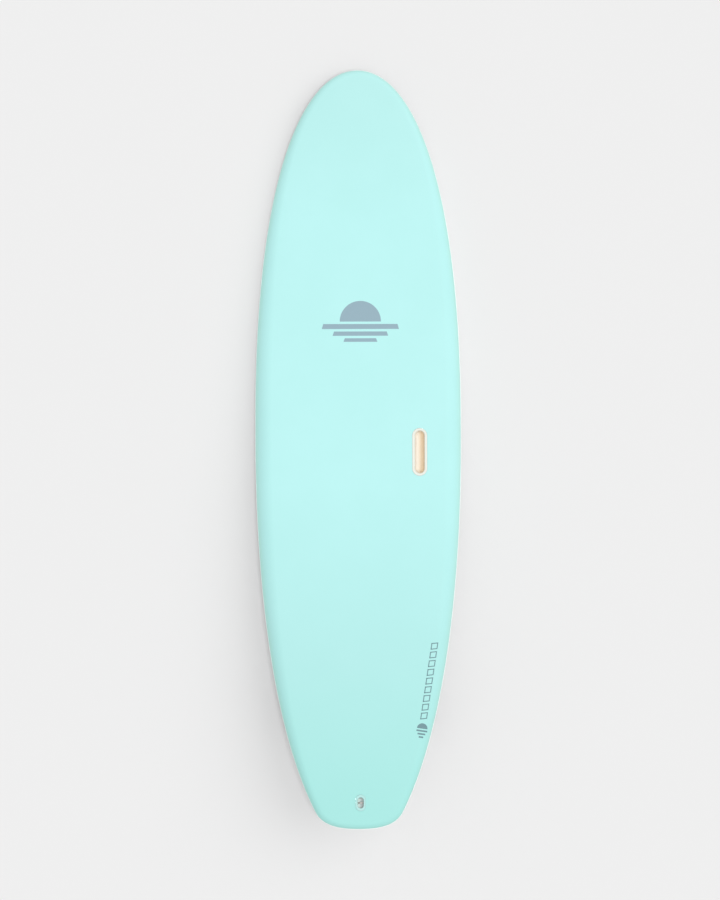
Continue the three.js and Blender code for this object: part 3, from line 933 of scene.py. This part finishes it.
def bandPatch(low, high, edges, steps=24):  # between y low and high, x edges from a function of the share
    rows = []
    for i in range(steps + 1):
        share = i / steps
        y = low + (high - low) * share
        left, right = edges(share)
        rows.append([(left + (right - left) * j / 24, y) for j in range(25)])
    return rows


def sunPatches():  # a half disc over three bars that shorten
    half, tall = mark["width"] / 2, mark["height"]
    radius = mark["disc"]
    disc = []
    for i in range(29):
        angle = math.pi * i / 28
        across, up = radius * math.cos(angle), radius * math.sin(angle)
        disc.append([(across * j / 8, tall / 2 - radius + up * j / 8) for j in range(9)])
    patches = [disc]
    top, taper = tall / 2 - radius - mark["gap"], mark["taper"]
    for part, deep, down in mark["bars"]:
        high, reach = top - down, half * part
        patches.append(bandPatch(high - deep, high,
                                 lambda share, w=reach: (-w + taper * share, w - taper * share)))
    return patches


def printSun():
    y = board["length"] / 2 - mark["station"]
    mesh = printedMesh("sunPrint", sunPatches(),
                       lambda px, py: deckPoint(px + mark["across"], py + y, mark["lift"]))
    newPiece("sunPrint", mesh, "deckInk", "deck_foam", boardBody)


def railPoint(along, across):  # metres along the row from its tail end, and across it toward the edge
    start, end = (Vector((x, board["length"] / 2 - station))
                  for x, station in (railRow["from"], railRow["to"]))
    ahead = (end - start).normalized()
    x, y = start + ahead * along + Vector((ahead.y, -ahead.x)) * across
    return deckPoint(x, y, mark["lift"])


def slab(low, high, slant, wide=5, tall=7):  # a leaning rectangle, from corner to corner
    rows = []
    for i in range(tall):
        across = low[1] + (high[1] - low[1]) * i / (tall - 1)
        rows.append([(low[0] + (high[0] - low[0]) * j / (wide - 1) + slant * across, across)
                     for j in range(wide)])
    return rows


def halfDisc(radius, start):  # its flat side across the row
    rows = []
    for i in range(21):
        angle = math.pi * i / 20
        rows.append([(start + radius * math.sin(angle) * j / 5, radius * math.cos(angle) * j / 5)
                     for j in range(6)])
    return rows


def printRailRow():  # plain leaning outlines in a row, above a small copy of the deck's mark
    half, thick, slant = railRow["tall"] / 2, railRow["stroke"], railRow["slant"]
    patches = []
    for k in range(railRow["count"]):
        start = railRow["lead"] + railRow["pitch"] * k
        end = start + railRow["pitch"] - railRow["space"]
        patches += [slab((start, -half), (start + thick, half), slant),
                    slab((end - thick, -half), (end, half), slant),
                    slab((start, -half), (end, -half + thick), slant),
                    slab((start, half - thick), (end, half), slant)]
    for k, reach in enumerate(railRow["bars"]):
        start = railRow["barStep"] * k
        patches.append(slab((start, -reach), (start + railRow["bar"], reach), 0.0))
    patches.append(halfDisc(railRow["disc"], railRow["barStep"] * len(railRow["bars"])))
    mesh = printedMesh("railPrint", patches, railPoint)
    newPiece("railPrint", mesh, "railInk", "deck_foam", boardBody)


printSun()
printRailRow()
print("marks printed")

inner = {"core": ("core_left", "core_centre", "core_right"), "wood": ("stringer_left", "stringer_right"),
         "laminate": ("deck_laminate", "bottom_laminate")}
for finish, names in inner.items():
    for name in names:
        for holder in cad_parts[name].material_slots:
            holder.material = finishes[finish]
print("inner pieces painted")

stage = {"floor": 40.0, "world": 0.615, "key": 0.65, "keyTurn": (0.0, 45.0, 25.0), "keySoft": 55.0,
         "top": 1.0, "topTurn": (0.0, 3.0, 25.0), "topSoft": 12.0}


def addFloor():
    shape = bmesh.new()
    bmesh.ops.create_circle(shape, cap_ends=True, radius=stage["floor"], segments=96)
    mesh = bpy.data.meshes.new("floor")
    shape.to_mesh(mesh)
    shape.free()
    mesh.materials.append(finishes["floor"])
    floor = bpy.data.objects.new("floor", mesh)
    bpy.context.scene.collection.objects.link(floor)


def addSun(name, strength, soft, turn):
    light = bpy.data.lights.new(name, "SUN")
    light.energy = strength
    light.angle = math.radians(soft)
    lamp = bpy.data.objects.new(name, light)
    lamp.rotation_euler = [math.radians(value) for value in turn]
    bpy.context.scene.collection.objects.link(lamp)


def addWorld():
    world = bpy.data.worlds.new("room")
    world.use_nodes = True
    sky = world.node_tree.nodes["Background"]
    sky.inputs["Color"].default_value = (1, 1, 1, 1)
    sky.inputs["Strength"].default_value = stage["world"]
    bpy.context.scene.world = world


camera = {"distance": 20.0, "viewTall": 2.5362, "aimHeight": 0.04,  # metres, viewTall at the board
          "right": 0.0050, "down": -0.0007, "roll": -0.16}


def addCamera():
    data = bpy.data.cameras.new("camera")
    data.sensor_width = 36.0
    data.lens = data.sensor_width * camera["distance"] / camera["viewTall"]
    data.clip_end = 200.0
    eye = bpy.data.objects.new("camera", data)
    aim = Matrix.Translation((camera["right"], -camera["down"], camera["aimHeight"] + camera["distance"]))
    eye.matrix_world = setDown @ aim @ Matrix.Rotation(math.radians(camera["roll"]), 4, "Z")
    bpy.context.scene.collection.objects.link(eye)
    bpy.context.scene.camera = eye


addFloor()
addWorld()
addSun("key", stage["key"], stage["keySoft"], stage["keyTurn"])
addSun("top", stage["top"], stage["topSoft"], stage["topTurn"])
addCamera()
bpy.context.scene.view_settings.view_transform = "Standard"
print("floor, light and camera set")
